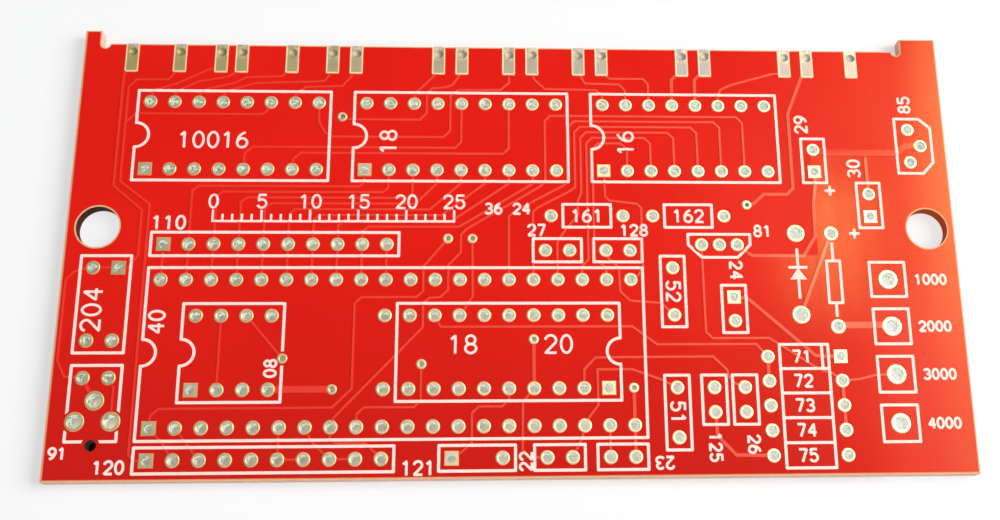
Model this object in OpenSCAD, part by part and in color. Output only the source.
// Bare two-sided circuit board: a drilled glass laminate, its copper tracks, plated lands,
// solder mask and printed legend. It lies flat, with its component side up.

/* [Outline] */
// Width of the board, across both tabs
board_w = 93.3; // [92.5:0.1:120]
// Depth of the board without its tabs
board_d = 46.85; // [46.5:0.05:64]
// Height of the two tabs above the contact edge
tab_h = 1.5; // [1:0.1:4]
// Width of the left tab
tab_left_w = 1.7; // [1.2:0.1:2.1]
// Width of the right tab
tab_right_w = 4; // [1.2:0.1:6]
// Radius of the cutter relief beside each tab
relief_r = 0.5; // [0.4:0.05:0.8]
// Distance from the left edge to the first column of the pin grid
grid_left = 10; // [9.8:0.1:12]
// Distance from the lower edge to the first row of the pin grid
grid_lower = 5.2; // [4.9:0.1:8]

/* [Layers] */
// Thickness of the glass laminate
laminate_t = 1.5; // [0.8:0.1:3.2]
// Thickness of the copper on each face
copper_t = 0.06; // [0.035:0.005:0.12]
// Thickness of the solder mask
mask_t = 0.025; // [0.015:0.005:0.05]
// Thickness of the solder coat on bare copper
solder_t = 0.02; // [0.01:0.005:0.06]
// Thickness of the printed legend
ink_t = 0.02; // [0.01:0.005:0.05]
// Thickness of the copper plated onto a hole's wall
plating_t = 0.04; // [0.02:0.01:0.08]

/* [Lands] */
// Width of the land at an ordinary lead
land_d = 1.35; // [1.2:0.05:1.75]
// Finished hole at an ordinary lead
lead_hole_d = 0.95; // [0.6:0.05:1.1]
// Width of the lands of the fuse
fuse_land_d = 1.5; // [1.4:0.05:2.1]
// Finished hole at a fuse lead
fuse_hole_d = 1; // [0.8:0.05:1.2]
// Width of the lands of the diode and of the jack's tabs
tab_land_d = 1.85; // [1.75:0.05:2.3]
// Width of the lands of the four wires
wire_land_d = 2; // [1.8:0.05:2.5]
// Finished hole at a wire, a diode lead or a jack tab
wide_hole_d = 1.4; // [1:0.05:1.5]
// Width of a via
via_d = 0.95; // [0.8:0.05:1.2]
// Finished hole of a via
via_hole_d = 0.5; // [0.3:0.05:0.55]

/* [Contacts] */
// Width of an edge contact
contact_w = 1.35; // [1.2:0.05:1.9]
// Length of an edge contact
contact_l = 3.25; // [2.2:0.05:3.6]
// Width of the solder plug that ties a contact to the underside
plug_d = 0.95; // [0.6:0.05:1.1]
// Depth of the hollow that the solder leaves in the top of a plug
dimple_depth = 0.22; // [0.05:0.01:0.25]

/* [Unplated holes] */
// Diameter of the two mounting holes
mount_hole_d = 4.4; // [3:0.1:4.8]
// Distance from the left mounting hole's centre to the left edge
mount_left = 3.2; // [3:0.1:4]
// Distance from the right mounting hole's centre to the right edge
mount_right = 2.95; // [2.8:0.05:4]
// Distance from a mounting hole's centre to the lower edge
mount_lower = 26.1; // [25.6:0.1:26.6]
// Diameter of the hole for the jack's locating peg
peg_hole_d = 1.1; // [0.8:0.1:1.6]

/* [Lines] */
// Width of a signal track
signal_w = 0.18; // [0.14:0.02:0.34]
// Width of a track that feeds several parts
feed_w = 0.3; // [0.2:0.05:0.6]
// Width of a supply track
supply_w = 0.65; // [0.4:0.05:0.9]
// Width of a printed legend line
legend_w = 0.3; // [0.2:0.02:0.5]
// Clearance between the legend and bare metal or a bare edge
legend_gap = 0.2; // [0.1:0.05:0.4]
// Clearance between a land and the mask around it
mask_gap = 0.06; // [0.04:0.01:0.12]
// Distance that the mask keeps from a cut edge
mask_setback = 0.13; // [0.05:0.01:0.3]
// Distance that the mask keeps from an unplated hole
hole_rim = 0.16; // [0.05:0.01:0.3]

/* [Hidden] */
// Leads, and so all lands and tracks, are placed in steps of the standard pin pitch
pitch = 2.54;
half = 0.5;
slack = 1;
$fn = 48;

// Heights, from the lowest face up
z_laminate = copper_t + max(mask_t, solder_t);
z_top = z_laminate + laminate_t;
coat_t = copper_t + solder_t;
ridge_t = copper_t + mask_t;

// Places on the pin grid, turned into millimetres about the middle of the board
full_d = board_d + tab_h;
function at(p) = [p[0] * pitch + grid_left - board_w / 2, p[1] * pitch + grid_lower - full_d / 2];
function column(x) = (x + board_w / 2 - grid_left) / pitch;
function row_of(y) = (y + full_d / 2 - grid_lower) / pitch;

// The contact edge and the inner end of a contact, as rows of the grid
edge_row = row_of(board_d - full_d / 2);
contact_row = edge_row - contact_l / pitch;

// Leads in a line, and in two facing lines
function leads(n, x, y, dx = 1, dy = 0) = [for (i = [0:n - 1]) [x + i * dx, y + i * dy]];
function facing(n, x, y, span) = concat(leads(n, x, y), leads(n, x, y + span));

// Rows that several footprints share
chip_row = 10.75;
chip_span = 3;
upper_row = 7.5;
lower_row = -1.25;
top_span = 6;
jack_x = -2.16;
coupler_x = -2.7;
wire_x = 29.75;
bank_x = 24.5;
bank_span = 3;
bank_row = 2.75;

// Each footprint: node, leads, the lead that has the square land (-1 for none), land and hole
FOOTPRINTS = [
    ["controller_lands", facing(20, 0, 0, top_span), 0, land_d, lead_hole_d],
    ["driver_lands", facing(9, 8, chip_row, chip_span), 0, land_d, lead_hole_d],
    ["latch_lands", facing(8, 18, chip_row, chip_span), 0, land_d, lead_hole_d],
    ["timer_lands", facing(4, 1.5, 1.5, chip_span), 0, land_d, lead_hole_d],
    ["underside_chip_lands", facing(10, 9, 1.5, chip_span), 9, land_d, lead_hole_d],
    ["network_lands", facing(8, -1, chip_row, chip_span), 0, land_d, lead_hole_d],
    ["upper_row_lands", leads(10, 0, upper_row), 0, land_d, lead_hole_d],
    ["lower_row_lands", leads(10, 0, lower_row), 0, land_d, lead_hole_d],
    ["coupler_lands", facing(2, coupler_x, 3.5, 3), 3, land_d, lead_hole_d],
    ["jack_pin_lands", leads(2, coupler_x, 2), -1, land_d, lead_hole_d],
    ["jack_tab_lands", [[jack_x, 1.1], [jack_x - 0.69, 0.28], [jack_x + 0.69, 0.28]], -1, tab_land_d, wide_hole_d],
    ["polar_cap_1_lands", leads(2, 11.75, lower_row, 2), 0, land_d, lead_hole_d],
    ["polar_cap_2_lands", leads(2, 23.25, 5.25, 0, -1), 0, land_d, lead_hole_d],
    ["polar_cap_3_lands", leads(2, 27, 10.75, 0, 1), 0, land_d, lead_hole_d],
    ["polar_cap_4_lands", leads(2, 29.25, 8.75, 0, 1), 0, land_d, lead_hole_d],
    ["disc_cap_1_lands", leads(2, 15.5, lower_row), -1, land_d, lead_hole_d],
    ["disc_cap_2_lands", leads(2, 18, lower_row), -1, land_d, lead_hole_d],
    ["disc_cap_3_lands", leads(2, 15.5, 7.25), -1, land_d, lead_hole_d],
    ["disc_cap_4_lands", leads(2, 18, 7.25), -1, land_d, lead_hole_d],
    ["disc_cap_5_lands", leads(2, 22.25, 0.5, 0, 1), -1, land_d, lead_hole_d],
    ["disc_cap_6_lands", leads(2, 23.5, 0.5, 0, 1), -1, land_d, lead_hole_d],
    ["resistor_1_lands", leads(2, 15.75, 8.75, 3), -1, land_d, lead_hole_d],
    ["resistor_2_lands", leads(2, 20, 8.75, 3), -1, land_d, lead_hole_d],
    ["bank_left_lands", leads(5, bank_x, bank_row, 0, -1), -1, land_d, lead_hole_d],
    ["bank_right_lands", leads(5, bank_x + bank_span, bank_row, 0, -1), 0, land_d, lead_hole_d],
    ["transistor_lands", leads(3, 22, 7.5, 0.75), -1, land_d, lead_hole_d],
    ["regulator_lands", [[31.2, 12.7], [31.7, 11.95], [31.2, 11.2]], -1, land_d, lead_hole_d],
    ["crystal_1_lands", leads(2, 20.75, -0.5, 0, 2), -1, land_d, lead_hole_d],
    ["crystal_2_lands", leads(2, 20.75, 4.5, 0, 2), -1, land_d, lead_hole_d],
    ["diode_lands", leads(2, 26, 4.5, 0, 3.5), -1, tab_land_d, wide_hole_d],
    ["fuse_lands", leads(2, 27.5, 4, 0, 4), -1, fuse_land_d, fuse_hole_d],
    ["wire_lands", leads(4, wire_x, 0, 0, 2), -1, wire_land_d, wide_hole_d],
    ["vias", [[7, 13.12], [11.5, 7.75], [12.5, 7.75], [24, 9.25], [15, 3.5],
              [10.5, 2.5], [7, 1.5], [19, 1.5], [5, 2.75]], -1, via_d, via_hole_d],
];

// Columns of the edge contacts
CONTACTS = [-1.92, 0.08, 1.81, 2.67, 4.79, 6.5, 7.5, 11, 12, 14, 15, 17, 18, 21.5, 22.5, 26, 27, 28.95];

// Eight data lines: up from the upper row, across under the driver, then fanned out to its lands
function data_line(k) =
    let (level = 10 - 0.25 * k, reach = k < 3 ? 0.2 : 0.15 + 0.1 * k + 0.045 * k * k)
    [[k + 1, upper_row], [k + 1, level - 0.2], [k + 1.25, level],
     [8 + k - reach, level], [8 + k, k < 3 ? level + 0.2 : 10.15], [8 + k, chip_row]];

// Five nested lines from the controller's upper row round to the latch; the feet run by hand
LATCH_FEET = [
    [[14, 6], [14, 8.7], [14.25, 8.95], [16.3, 10.08]],
    [[15, 6], [15, 8.9], [15.2, 9.1], [16.5, 9.8]],
    [[16, 6], [16, 7.6], [16.25, 8], [16.88, 8.8], [16.88, 9.4]],
    [[17, 6], [17, 6.55], [17.28, 6.85]],
    [[18, 6], [18, 6.5], [17.53, 6.85]],
];
function latch_line(m) =
    let (x = 16.53 + 0.25 * m, level = 12.98 - 0.25 * m, land = 23 - m)
    concat(LATCH_FEET[m], [[x, m < 2 ? 10.3 - 0.3 * m : m == 2 ? 9.75 : 7.2], [x, level - 0.25],
        [x + 0.25, level], [land - 0.25, level], [land, level - 0.25], [land, chip_row]]);

SIGNALS_TOP = concat(
    [for (k = [0:9]) [[k, top_span], [k, upper_row]]],
    [for (k = [0:7]) data_line(k)],
    [for (m = [0:4]) latch_line(m)],
    [
        // Edge contacts down to the network
        [[-2.14, contact_row + 0.1], [-2.2, 14.9], [-2.2, 10], [-0.97, 8.95], [-0.97, 7], [-1.3, 6.5],
         [coupler_x + 1, 6.5]],
        [[0.05, contact_row + 0.1], [-0.35, 14.76], [-1.65, 14.74], [-1.95, 14.4], [-1.95, 10.2],
         [-0.68, 9.2], [-0.68, -1], [-0.45, lower_row], [0, lower_row]],
        [[1.79, contact_row + 0.18], [1.35, contact_row + 0.13], [0.1, 14.6], [-0.75, 14.3],
         [-1, 14.05], [-1, 13.75]],
        [[2.66, contact_row + 0.1], [2.1, 14.9], [1.35, 14.74], [1, 14.7], [0.3, 14.35],
         [0, 14.1], [0, 13.75]],
        [[4.8, contact_row + 0.2], [4.4, 14.95], [2.9, 14.88], [2.45, 14.62], [1.35, 14.35],
         [1, 14.05], [1, 13.75]],
        [[6.5, contact_row + 0.1], [6.2, 14.76], [5.9, 14.72], [3.3, 14.62], [2.3, 14.3],
         [2, 14.05], [2, 13.75]],
        [[7.5, contact_row + 0.1], [6.95, 14.52], [5.4, 14.46], [5, 14.1], [5, 13.75]],
        // Edge contacts down to the driver
        [[11, contact_row + 0.1], [10.2, 14.38], [10, 14.15], [10, 13.75]],
        [[12, contact_row + 0.1], [11.6, 14.6], [11.3, 14.5], [10.75, 14.45], [10.53, 14.22],
         [10.53, 13.3], [10.25, 13], [7.3, 13], [7, 13.12]],
        [[14, contact_row + 0.1], [14.03, 14.75], [13.65, 14.4], [11.85, 14.38], [11.53, 14.1],
         [11.53, 12.5], [11.25, 12.22], [6.65, 12.22], [6.3, 12.4], [6.04, 12.85], [6, 13.75]],
        // Edge contacts down to the latch
        [[15, contact_row + 0.1], [15.1, 14.9], [15.55, 14.46], [17.75, 14.43], [18, 14.15], [18, 13.75]],
        [[17, contact_row + 0.1], [17.27, 14.74], [18.75, 14.7], [19, 14.42], [19, 13.75]],
        [[18, contact_row + 0.1], [18.35, 14.97], [19.8, 14.97], [20, 14.72], [20, 13.75]],
        [[26, contact_row + 0.2], [25.4, contact_row + 0.13], [23.6, 14.72], [23.15, 14.5],
         [23, 14.2], [23, 13.75]],
        // Network to driver
        [[4, 13.75], [3.85, 13.35], [3.65, 13.2], [-1.55, 13.2], [-1.95, 12.8]],
        [[3, chip_row], [3.03, 11.45], [3.35, 11.74], [11.75, 11.74], [12, 12], [12, 13.75]],
        [[5, chip_row], [5.03, 11.2], [5.35, 11.48], [13.75, 11.48], [14, 11.72], [14, 13.75]],
        // Controller to latch, and back round the driver's right end
        [[7, 0], [7.12, 0.38], [10.53, 4], [10.53, 5], [10.78, 5.22], [11.2, 5.25], [11.53, 5.55],
         [11.53, 6.6], [12.03, 7.15], [12.03, 7.9], [12.25, 8.15], [15.3, 10.02], [15.53, 10.25],
         [15.53, 12.98], [15.75, 13.22], [23.75, 13.22], [24, 12.95], [24, chip_row]],
        [[18, chip_row], [18.03, 9.6], [18.2, 9.42], [19.35, 9.28], [19.53, 9.1], [19.53, 6.5],
         [19.3, 6.15], [19, 6]],
        // About the controller
        [[0, 0], [0.03, 0.5], [0.33, 0.76], [7.03, 0.77], [7.78, 1.52], [7.78, 5], [8.03, 5.25],
         [10.25, 5.26], [10.52, 5.5], [10.52, 6.55], [11.5, 7.75]],
        [[12.5, 7.75], [12.53, 5.3], [12.2, 4.75], [12, 4.5]],
        [[8, 0], [8, 0.5], [8.28, 0.77], [10.25, 0.77], [10.5, 1.02], [10.5, 2.5]],
        [[14, 1.5], [14, 1.05], [13.72, 0.78], [12.8, 0.78], [12.53, 0.52], [12.53, -0.65],
         [12.1, -1.05], [11.75, lower_row]],
        [[15, 1.5], [14.55, 0.95], [14.53, -0.95], [14.8, lower_row], [15.5, lower_row]],
        [[17, 0], [17.2, 0.35], [17.55, 0.8], [17.55, 2.25], [18.95, 2.25], [20.1, 1.83], [20.75, 1.5]],
        [[17, 1.5], [17.02, 2.25], [17.48, 2.74], [22.25, 2.76], [22.8, 2.22], [22.85, 1.95],
         [23.1, 1.65], [23.5, 1.5]],
        [[11, 4.5], [11.25, 4.02], [19, 4.02], [20, 3.27], [24.05, 3.27], [24.5, 2.75]],
        [[18, 7.25], [18.1, 6.9], [18.53, 6.5], [18.55, 5.5], [18.95, 5.1], [20.2, 5], [20.75, 4.5]],
        [[22, 7.5], [22.02, 3.78], [22.28, 3.52], [24.6, 3.52], [25.4, 3], [26.6, 2.2], [27.1, 2.05],
         [27.5, 1.75]],
        [[17, 0], [16.87, -0.55], [16.5, lower_row]],
        [[18, 0], [18, lower_row]],
        [[2.5, 4.5], [2.5, 1.5]],
        [[3.5, 4.5], [5, 2.75]],
        // Controller to the lower row
        [[0, 0], [0.55, -0.55], [1, lower_row]],
        [[1, 0], [1.45, -0.55], [2, lower_row]],
        [[5, 0], [5, lower_row], [6, lower_row]],
        [[6, 0], [6.3, -0.58], [7, lower_row], [8, lower_row]],
        [[7, 0], [7, -0.45], [7.2, -0.63], [8.4, -0.65], [9, lower_row]],
        // Coupler and jack
        [[coupler_x, 6.5], [coupler_x + 1, 6.5]],
        [[coupler_x, 6.5], [-3.4, 6.35], [-3.73, 6], [-3.73, 2.7], [-3.4, 2.05], [coupler_x, 2]],
        [[coupler_x + 1, 2], [jack_x + 0.69, 1.6], [jack_x + 0.69, 0.28]],
        // Wire to bank
        [[27.5, 1.75], [28.2, 1.8], [28.9, 1.97], [29.75, 2]],
    ]
);

// Feeds are a little wider than signals
FEEDS_TOP = [
    [[21.5, contact_row + 0.1], [21.25, contact_row + 0.05], [21.03, 14.93], [21, 13.75]],
    [[22.5, contact_row + 0.1], [22.25, contact_row + 0.05], [22.03, 14.95], [22, 13.75]],
    [[27, contact_row + 0.2], [26.75, contact_row + 0.05], [26.02, 13.4], [26.02, 10], [25.75, 9.72],
     [24.75, 9.72], [24.3, 9.3], [24, 9.25]],
    [[27, 10.75], [27, 10.2], [26.85, 9.4], [26.82, 7.85], [26.28, 7.02], [24.1, 7.02], [23.5, 7.5]],
    [[27.5, 8], [26, 4.5]],
    [[23.25, 5.25], [23.8, 5.2], [26.45, 2.8], [26.7, 2.75], [27.5, 2.75]],
    [[19, 1.5], [19, lower_row]],
    [[22.25, 0.5], [22.28, -0.45], [23, -1.22], [24.5, lower_row]],
    [[24.5, 2.75], [24.5, 1.75]],
    [[27.5, 1.75], [27.5, -0.25]],
    [[coupler_x, 2], [jack_x, 1.1]],
    [[15, 3.5], [15, 1.5]],
    [[29.25, 9.75], [29.25, 11.66]],
];

SUPPLIES_TOP = [
    [[4.5, 1.5], [7, 1.5]],
    [[27.5, 4.05], [29.75, 4.05]],
    [[27, 11.75], [27.5, 11.62], [30.55, 11.62], [31.05, 11.95], [31.7, 11.95]],
];

// Underside: signals run mostly across the ones above them
SIGNALS_UNDERSIDE = [
    [[11.5, 7.75], [11.5, 12.95], [11, 13.45], [11, 13.75]],
    [[12.5, 7.75], [12.5, 12.95], [13, 13.45], [13, 13.75]],
    [[7, 13.12], [7, 11.4], [6, 10.75]],
    [[24, 9.25], [24, 8.6], [23.5, 8.1], [23.5, 7.5]],
    [[10.5, 2.5], [11.5, 3.5], [12.5, 3.5], [13, 4], [13, 4.5]],
    [[5, 2.75], [5.25, 2.5], [5.25, 1.2], [4, 0]],
    [[16, 4.5], [16, 6]],
    [[18, 4.5], [18.5, 4], [18.5, 2.4], [19, 1.5]],
    [[13, 1.5], [13.5, 1], [13.5, -0.75], [13.75, lower_row]],
    [[16, 1.5], [16, 0]],
    [[20.75, 6.5], [20.2, 6.95], [19.6, 6.95], [19, 6.35], [19, 6]],
    [[20.75, -0.5], [20.2, -0.9], [19.6, -0.9], [19, -0.4], [19, 0]],
    [[-1, 13.75], [-1.6, 13.1], [-1.6, 8.6], [-1.2, 8.2], [-1.2, 5.2], [-2, 4.4], [coupler_x, 3.5]],
    [[9, 4.5], [9, 6]],
    [[9, 1.5], [9, 0]],
    [[31.2, 12.7], [30.6, 13.3], [30.6, 14.5], [29.9, 15.2], [28.95, edge_row - 0.35]],
];

SUPPLIES_UNDERSIDE = [
    [[29.75, 6], [31.4, 4.4], [31.4, -0.6], [30.75, lower_row], [27.5, lower_row]],
    [[31.2, 11.2], [31.2, 10.4], [29.75, 8.8], [29.25, 8.75]],
    [[29.25, 8.75], [28.4, 7.9], [28.4, 6.6], [29, 6], [29.75, 6]],
    [[24.5, 1.75], [24.5, -0.25]],
    [[24.5, -0.25], [23.75, 0.5], [23.5, 0.5]],
    [[jack_x + 0.69, 0.28], [jack_x + 0.69, -1.2], [-1.1, -1.55], [-0.6, -1.55], [0, lower_row]],
];

// Legend, in places on the pin grid: plain frames by their corners, and frames with a notch
FRAMES = [
    [-0.5, 7, 9.5, 8], [-0.5, -1.75, 9.5, -0.75],
    [coupler_x - 0.49, 3, coupler_x + 1.49, 7],
    [11.25, -1.75, 14.25, -0.75], [15, -1.75, 17, -0.75], [17.5, -1.75, 19.5, -0.75],
    [15, 6.75, 17, 7.75], [17.5, 6.75, 19.5, 7.75],
    [16.25, 8.25, 18.25, 9.25], [20.5, 8.25, 22.5, 9.25],
    [20.25, 4, 21.25, 7], [20.25, -1, 21.25, 2],
    [22.75, 3.75, 23.75, 5.75], [21.75, 0, 22.75, 2], [23, 0, 24, 2],
    [26.5, 10.25, 27.5, 12.25], [28.75, 8.25, 29.75, 10.25],
    [25, -1.75, 27, 3.25],
];
NOTCHED_FRAMES = [
    [-0.5, -0.5, 19.5, 6.5, -0.5], [-1.5, 10.25, 6.5, 14.25, -1.5], [7.5, 10.25, 16.5, 14.25, 7.5],
    [17.5, 10.25, 25.5, 14.25, 17.5], [1, 1, 5, 5, 1], [9.5, 1, 18.5, 5, 18.5],
];
notch_r = 0.54;
wire_frame = 0.74;
STROKES = concat(
    // Dividers of the bank of diodes, and the bar in its first cell
    [for (y = [2.25:-1:-0.75]) [[25, y], [27, y]]],
    [
        [[26.74, 2.25], [26.74, 3.25]],
        // Transistor and regulator
        [[21.45, 7.95], [24.05, 7.95], [24.05, 7.5], [23.5, 6.95], [22, 6.95], [21.45, 7.5], [21.45, 7.95]],
        [[30.65, 13.2], [31.73, 13.2], [32.2, 12.78], [32.2, 11.2], [31.73, 10.7], [30.65, 10.7],
         [30.65, 13.2]],
        // Diode
        [[26, 7.29], [26, 5.23]],
        [[25.65, 6.52], [26.35, 6.52]],
        // Fuse
        [[27.5, 7.6], [27.5, 6.8]],
        [[27.5, 5], [27.5, 4.45]],
        [[27.22, 5], [27.22, 6.8], [27.78, 6.8], [27.78, 5], [27.22, 5]],
        // Jack, open where its tabs and its peg are
        [[jack_x - 0.24, -0.5], [jack_x - 1, -0.5], [jack_x - 1, -0.1]],
        [[jack_x - 1, 0.6], [jack_x - 1, 2.5], [jack_x + 0.96, 2.5], [jack_x + 0.96, 0.6]],
        [[jack_x + 0.96, -0.1], [jack_x + 0.96, -0.5], [jack_x + 0.24, -0.5]],
    ]
);
DIODE_ARROW = [[25.65, 6], [26.35, 6], [26, 6.5]];
PLUSES = [[27.6, 9.9], [28.5, 8]];
plus_arm = 0.17;

// A unit vector, and the one square to it on its left
function unit(v) = v / norm(v);
function left_of(v) = [-v[1], v[0]];

// Where the edge of a line passes point i: out along the mitre of the two stretches that meet there
function mitre(p, i) =
    let (a = left_of(unit(i == 0 ? p[1] - p[0] : p[i] - p[i - 1])),
         b = left_of(unit(i == len(p) - 1 ? p[i] - p[i - 1] : p[i + 1] - p[i])),
         m = unit(a + b))
    m / (m * a);

// A line of one width through points in millimetres, with mitred bends
module ribbon(p, w) {
    last = len(p) - 1;
    polygon(concat(
        [for (i = [0:last]) p[i] + mitre(p, i) * w / 2],
        [for (i = [last:-1:0]) p[i] - mitre(p, i) * w / 2]
    ));
}

// Tracks along routes on the pin grid, each side grown by the skin of mask that covers it
module tracks(routes, w, skin = 0) {
    for (r = routes) ribbon([for (p = r) at(p)], w + 2 * skin);
}

module tracks_top(skin = 0) {
    tracks(SIGNALS_TOP, signal_w, skin);
    tracks(FEEDS_TOP, feed_w, skin);
    tracks(SUPPLIES_TOP, supply_w, skin);
}

module tracks_underside(skin = 0) {
    tracks(SIGNALS_UNDERSIDE, signal_w, skin);
    tracks(SUPPLIES_UNDERSIDE, supply_w, skin);
}

// Outline of one land
module land_shape(d, square_land) {
    if (square_land) square(d, center = true);
    else circle(d = d);
}

// Outlines of all lands, each grown by a gap
module all_lands(gap = 0) {
    for (f = FOOTPRINTS, i = [0:len(f[1]) - 1])
        translate(at(f[1][i])) land_shape(f[3] + 2 * gap, i == f[2]);
}

// Outline of one contact, open at the board's edge, with its inner corners eased
module contact_shape(gap = 0, past = 0) {
    r = contact_w / 8;
    w = contact_w + 2 * gap;
    y = -contact_l - gap;
    translate([-w / 2, y + r]) square([w, past - y - r]);
    translate([r - w / 2, y]) square([w - 2 * r, 2 * r]);
    for (s = [-1, 1]) translate([s * (w / 2 - r), y + r]) circle(r);
}

module at_contacts() {
    for (x = CONTACTS) translate(at([x, edge_row])) children();
}

// Centre of a contact's plug, back from the edge
plug_back = 0.9;
plug_land_d = plug_d + 0.35;

module at_plugs() {
    at_contacts() translate([0.08, -plug_back]) children();
}

module at_mount_holes() {
    for (x = [mount_left - board_w / 2, board_w / 2 - mount_right])
        translate([x, mount_lower - full_d / 2]) children();
}

// Hollow in a plug: a ball's cap that is as wide as the plug
dimple_r = (plug_d * plug_d / 4 + dimple_depth * dimple_depth) / (2 * dimple_depth);

// The peg sits on the jack's centre line, at the open end of its outline
peg_at = [jack_x, -0.65];

// Board outline with its tabs and reliefs, drawn in by a setback
module outline(setback = 0) {
    w = board_w / 2;
    y = -full_d / 2;
    difference() {
        union() {
            translate([-w + setback, y + setback]) square([board_w - 2 * setback, board_d - 2 * setback]);
            translate([-w + setback, y + setback]) square([tab_left_w - 2 * setback, full_d - 2 * setback]);
            translate([w - tab_right_w + setback, y + setback])
                square([tab_right_w - 2 * setback, full_d - 2 * setback]);
        }
        for (x = [-w + tab_left_w + relief_r, w - tab_right_w - relief_r])
            translate([x, y + board_d]) circle(relief_r + setback);
    }
}

module laminate() {
    color("burlywood")
    translate([0, 0, z_laminate])
    linear_extrude(laminate_t)
    difference() {
        outline();
        for (f = FOOTPRINTS, p = f[1]) translate(at(p)) circle(d = f[4] + 2 * plating_t);
        at_plugs() circle(d = plug_d);
        at_mount_holes() circle(d = mount_hole_d);
        translate(at(peg_at)) circle(d = peg_hole_d);
    }
}

// Copper tracks, cut off where they run into a land or a contact
module copper_top() {
    color("chocolate")
    translate([0, 0, z_top])
    linear_extrude(copper_t)
    difference() {
        tracks_top();
        all_lands();
        at_contacts() contact_shape(0, slack);
    }
}

module copper_underside() {
    color("chocolate")
    translate([0, 0, z_laminate - copper_t])
    linear_extrude(copper_t)
    difference() {
        tracks_underside();
        all_lands();
        at_plugs() circle(d = plug_land_d);
    }
}

// Unplated holes with the bare rim round them
module bare_holes(rim) {
    at_mount_holes() circle(d = mount_hole_d + 2 * rim);
    translate(at(peg_at)) circle(d = peg_hole_d + 2 * rim);
}

module openings_top(grown = 0) {
    all_lands(mask_gap + grown);
    at_contacts() contact_shape(mask_gap + grown, slack);
    bare_holes(hole_rim + grown);
}

module openings_underside() {
    all_lands(mask_gap);
    at_plugs() circle(d = plug_land_d + 2 * mask_gap);
    bare_holes(hole_rim);
}

// Solder mask in three layers: the film between the tracks, the ridges' walls, and their crests
module mask_top() {
    color("red")
    translate([0, 0, z_top]) {
        linear_extrude(mask_t) difference() {
            outline(mask_setback);
            openings_top();
            tracks_top();
        }
        translate([0, 0, mask_t]) linear_extrude(copper_t - mask_t) difference() {
            tracks_top(mask_t);
            openings_top();
            tracks_top();
        }
        translate([0, 0, copper_t]) linear_extrude(mask_t) difference() {
            tracks_top(mask_t);
            openings_top();
        }
    }
}

module mask_underside() {
    color("red")
    translate([0, 0, z_laminate])
    mirror([0, 0, 1]) {
        linear_extrude(mask_t) difference() {
            outline(mask_setback);
            openings_underside();
            tracks_underside();
        }
        translate([0, 0, mask_t]) linear_extrude(copper_t - mask_t) difference() {
            tracks_underside(mask_t);
            openings_underside();
            tracks_underside();
        }
        translate([0, 0, copper_t]) linear_extrude(mask_t) difference() {
            tracks_underside(mask_t);
            openings_underside();
        }
    }
}

// Legend shapes, as they lie in plan
module stroke(p) {
    for (i = [0:len(p) - 2]) ribbon([at(p[i]), at(p[i + 1])], legend_w);
    for (q = p) translate(at(q)) circle(d = legend_w);
}

module frame(b) {
    stroke([[b[0], b[1]], [b[2], b[1]], [b[2], b[3]], [b[0], b[3]], [b[0], b[1]]]);
}

// A frame with a half-round notch in the side that is at b[4]
module notched_frame(b) {
    far = b[4] == b[0] ? b[2] : b[0];
    mid = (b[1] + b[3]) / 2;
    r = notch_r * pitch;
    stroke([[b[4], mid + notch_r], [b[4], b[3]], [far, b[3]], [far, b[1]], [b[4], b[1]],
        [b[4], mid - notch_r]]);
    translate(at([b[4], mid])) difference() {
        circle(r + legend_w / 2);
        circle(r - legend_w / 2);
        translate([far > b[4] ? -2 * r : 0, -2 * r]) square([2 * r, 4 * r]);
    }
}

module plus(p) {
    stroke([p - [plus_arm, 0], p + [plus_arm, 0]]);
    stroke([p - [0, plus_arm], p + [0, plus_arm]]);
}

module legend_shapes() {
    difference() {
        union() {
            for (b = FRAMES) frame(b);
            for (b = NOTCHED_FRAMES) notched_frame(b);
            for (y = [0:2:6])
                frame([wire_x - wire_frame, y - wire_frame, wire_x + wire_frame, y + wire_frame]);
            for (p = STROKES) stroke(p);
            for (p = PLUSES) plus(p);
            polygon([for (p = DIODE_ARROW) at(p)]);
        }
        openings_top(legend_gap);
    }
}

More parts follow.
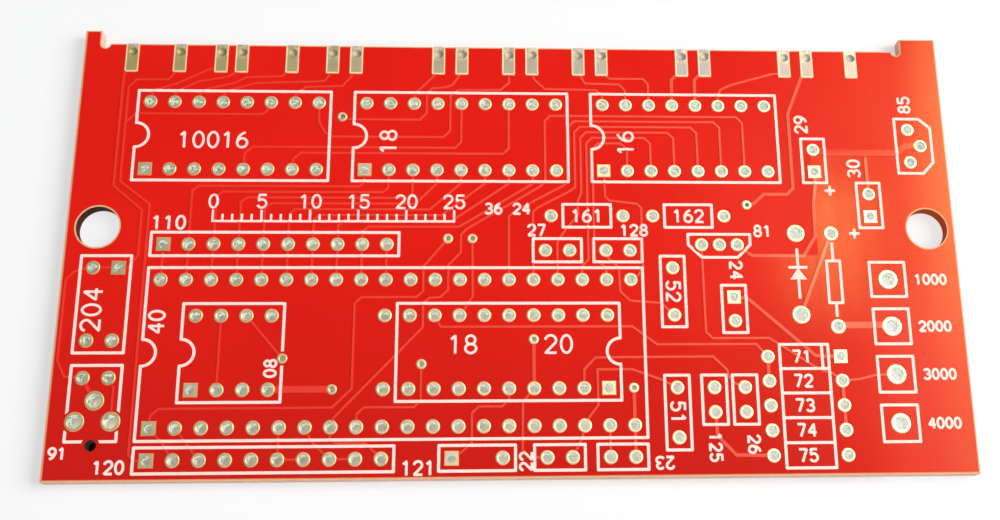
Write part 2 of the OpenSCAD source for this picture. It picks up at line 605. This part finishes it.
// Ink lies on the mask, and climbs over each ridge that it meets
module legend() {
    color("mistyrose")
    translate([0, 0, z_top]) {
        translate([0, 0, mask_t]) linear_extrude(ink_t) difference() {
            legend_shapes();
            tracks_top(mask_t);
        }
        translate([0, 0, mask_t + ink_t]) linear_extrude(ridge_t - mask_t - ink_t) difference() {
            intersection() {
                legend_shapes();
                tracks_top(mask_t + ink_t);
            }
            tracks_top(mask_t);
        }
        translate([0, 0, ridge_t]) linear_extrude(ink_t) intersection() {
            legend_shapes();
            tracks_top(mask_t + ink_t);
        }
    }
}

// The solder coat on a ring of copper: a low crown from one radius to another, at height z
crown_turn = 45;
function crown(from, to, z, up) = [for (a = [0:crown_turn:180])
    [(from + to) / 2 + cos(a) * (from - to) / 2, z + up * sin(a) * solder_t]];

// Plated and soldered land: a ring on each face, joined by the plated wall of its hole
module land(d, hole, square_land) {
    r = hole / 2;
    if (square_land) {
        difference() {
            union() {
                for (h = [-coat_t, laminate_t]) translate([-d / 2, -d / 2, h]) cube([d, d, coat_t]);
                cylinder(r = r + plating_t, h = laminate_t);
            }
            translate([0, 0, -slack]) cylinder(r = r, h = laminate_t + 2 * slack);
        }
    }
    else rotate_extrude() polygon(concat(
        crown(r, d / 2, -copper_t, -1),
        [[d / 2, 0], [r + plating_t, 0], [r + plating_t, laminate_t], [d / 2, laminate_t]],
        crown(d / 2, r, laminate_t + copper_t, 1)
    ));
}

module footprint(f) {
    color("darkkhaki")
    for (i = [0:len(f[1]) - 1])
        translate([at(f[1][i])[0], at(f[1][i])[1], z_laminate]) land(f[3], f[4], i == f[2]);
}

// Edge contacts: a soldered strip, with a plug of solder down to a small land on the underside
module edge_contacts() {
    color("darkkhaki")
    translate([0, 0, z_laminate])
    difference() {
        union() {
            translate([0, 0, laminate_t]) linear_extrude(coat_t) at_contacts() contact_shape();
            at_plugs() cylinder(d = plug_d, h = laminate_t);
            translate([0, 0, -coat_t]) at_plugs() cylinder(d = plug_land_d, h = coat_t);
        }
        translate([0, 0, laminate_t + coat_t + dimple_r - dimple_depth]) at_plugs() sphere(dimple_r);
    }
}

laminate();
copper_top();  // tracks_top
copper_underside();  // tracks_underside
mask_top();
mask_underside();
legend();
edge_contacts();
for (f = FOOTPRINTS) footprint(f);
